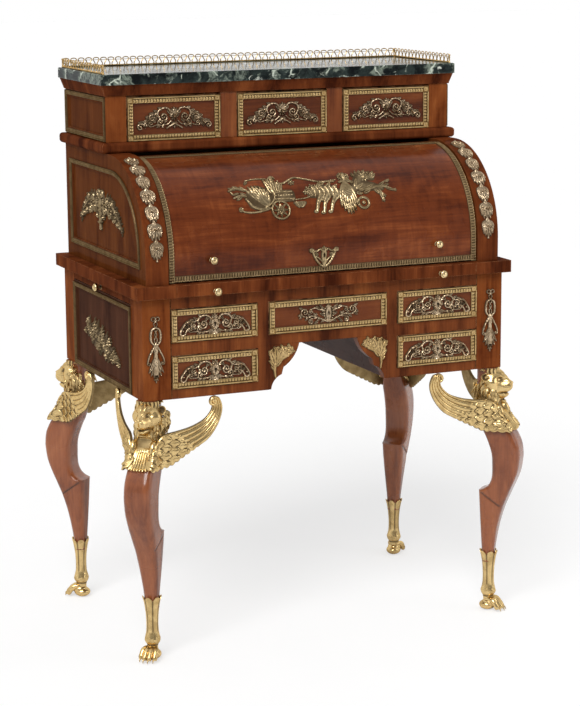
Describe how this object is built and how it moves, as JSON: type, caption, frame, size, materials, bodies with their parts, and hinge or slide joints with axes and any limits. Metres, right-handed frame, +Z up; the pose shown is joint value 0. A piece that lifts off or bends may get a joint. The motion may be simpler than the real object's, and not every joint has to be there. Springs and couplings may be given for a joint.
{
  "type": "cylinder desk",
  "caption": "Mahogany cylinder desk on winged lion legs with a kneehole, drawers, pull-out writing and side slides, a rolling fall over pigeonholes and a galleried marble top.",
  "frame": {"origin": "on the floor under the middle of the case", "axes": "+Z up, the front with the drawers faces -Y, +X to the right seen from the front"},
  "size_m": [0.9148, 0.5948, 1.2074],
  "materials": {
    "mahogany": "french polished",
    "inner_wood": "waxed",
    "gilt_bronze": "burnished gilt",
    "iron": "oiled",
    "leather": "tooled edge",
    "marble": "polished"
  },
  "bodies": {
    "case": {"leg_front_right": "mahogany", "leg_front_left": "mahogany", "leg_back_right": "mahogany", "leg_back_left": "mahogany", "winged_lion_front_right": "gilt_bronze", "winged_lion_front_left": "gilt_bronze", "winged_lion_back_right": "gilt_bronze", "winged_lion_back_left": "gilt_bronze", "sabot_front_right": "gilt_bronze", "sabot_front_left": "gilt_bronze", "sabot_back_right": "gilt_bronze", "sabot_back_left": "gilt_bronze", "lower_side_right": "mahogany", "lower_side_left": "mahogany", "face_frame": "mahogany", "lower_back": "mahogany", "kneehole_walls": "mahogany", "spandrels": "mahogany", "tabletop": "mahogany", "cylinder_end_right": "mahogany", "cylinder_end_left": "mahogany", "cylinder_back": "mahogany", "waist_board": "mahogany", "upper_side_right": "mahogany", "upper_side_left": "mahogany", "upper_dividers": "mahogany", "upper_back": "mahogany", "cornice": "mahogany", "drawer_bearers": "inner_wood", "top_dust_board": "inner_wood", "interior_fitment": "inner_wood", "gallery": "gilt_bronze", "side_mouldings_right": "gilt_bronze", "side_mouldings_left": "gilt_bronze", "marble_top": "marble"},
    "lower_row_right_drawer": {"drawer_lower_row_right": "mahogany", "drawer_trim_lower_row_right": "gilt_bronze"},
    "lower_row_left_drawer": {"drawer_lower_row_left": "mahogany", "drawer_trim_lower_row_left": "gilt_bronze"},
    "upper_row_right_drawer": {"drawer_upper_row_right": "mahogany", "drawer_trim_upper_row_right": "gilt_bronze"},
    "upper_row_left_drawer": {"drawer_upper_row_left": "mahogany", "drawer_trim_upper_row_left": "gilt_bronze"},
    "centre_drawer": {"drawer_centre": "mahogany", "drawer_trim_centre": "gilt_bronze"},
    "top_right_drawer": {"drawer_top_right": "mahogany", "drawer_trim_top_right": "gilt_bronze"},
    "top_left_drawer": {"drawer_top_left": "mahogany", "drawer_trim_top_left": "gilt_bronze"},
    "top_centre_drawer": {"drawer_top_centre": "mahogany", "drawer_trim_top_centre": "gilt_bronze"},
    "fall": {"cylinder_fall": "mahogany", "fall_arms": "iron", "fall_mounts": "gilt_bronze", "fall_knobs": "gilt_bronze"},
    "writing_surface": {"writing_slide": "mahogany", "slide_leather": "leather", "slide_knobs": "gilt_bronze"},
    "right_slide": {"side_slide_right": "mahogany"},
    "left_slide": {"side_slide_left": "mahogany"}
  },
  "joints": [
    {"name": "fall_roll", "type": "hinge", "parent": "case", "child": "fall", "pos_m": [0, -0.052, 0.8286], "axis": [-1, 0, 0], "range_deg": [0, 78]},
    {"name": "writing_surface_slide", "type": "slide", "parent": "case", "child": "writing_surface", "axis": [0, -1, 0], "range_m": [0, 0.22]},
    {"name": "right_slide_pull", "type": "slide", "parent": "case", "child": "right_slide", "axis": [1, 0, 0], "range_m": [0, 0.2]},
    {"name": "left_slide_pull", "type": "slide", "parent": "case", "child": "left_slide", "axis": [-1, 0, 0], "range_m": [0, 0.2]},
    {"name": "lower_row_right_drawer_pull", "type": "slide", "parent": "case", "child": "lower_row_right_drawer", "axis": [0, -1, 0], "range_m": [0, 0.3]},
    {"name": "lower_row_left_drawer_pull", "type": "slide", "parent": "case", "child": "lower_row_left_drawer", "axis": [0, -1, 0], "range_m": [0, 0.3]},
    {"name": "upper_row_right_drawer_pull", "type": "slide", "parent": "case", "child": "upper_row_right_drawer", "axis": [0, -1, 0], "range_m": [0, 0.3]},
    {"name": "upper_row_left_drawer_pull", "type": "slide", "parent": "case", "child": "upper_row_left_drawer", "axis": [0, -1, 0], "range_m": [0, 0.3]},
    {"name": "centre_drawer_pull", "type": "slide", "parent": "case", "child": "centre_drawer", "axis": [0, -1, 0], "range_m": [0, 0.3]},
    {"name": "top_right_drawer_pull", "type": "slide", "parent": "case", "child": "top_right_drawer", "axis": [0, -1, 0], "range_m": [0, 0.17]},
    {"name": "top_left_drawer_pull", "type": "slide", "parent": "case", "child": "top_left_drawer", "axis": [0, -1, 0], "range_m": [0, 0.17]},
    {"name": "top_centre_drawer_pull", "type": "slide", "parent": "case", "child": "top_centre_drawer", "axis": [0, -1, 0], "range_m": [0, 0.17]}
  ]
}
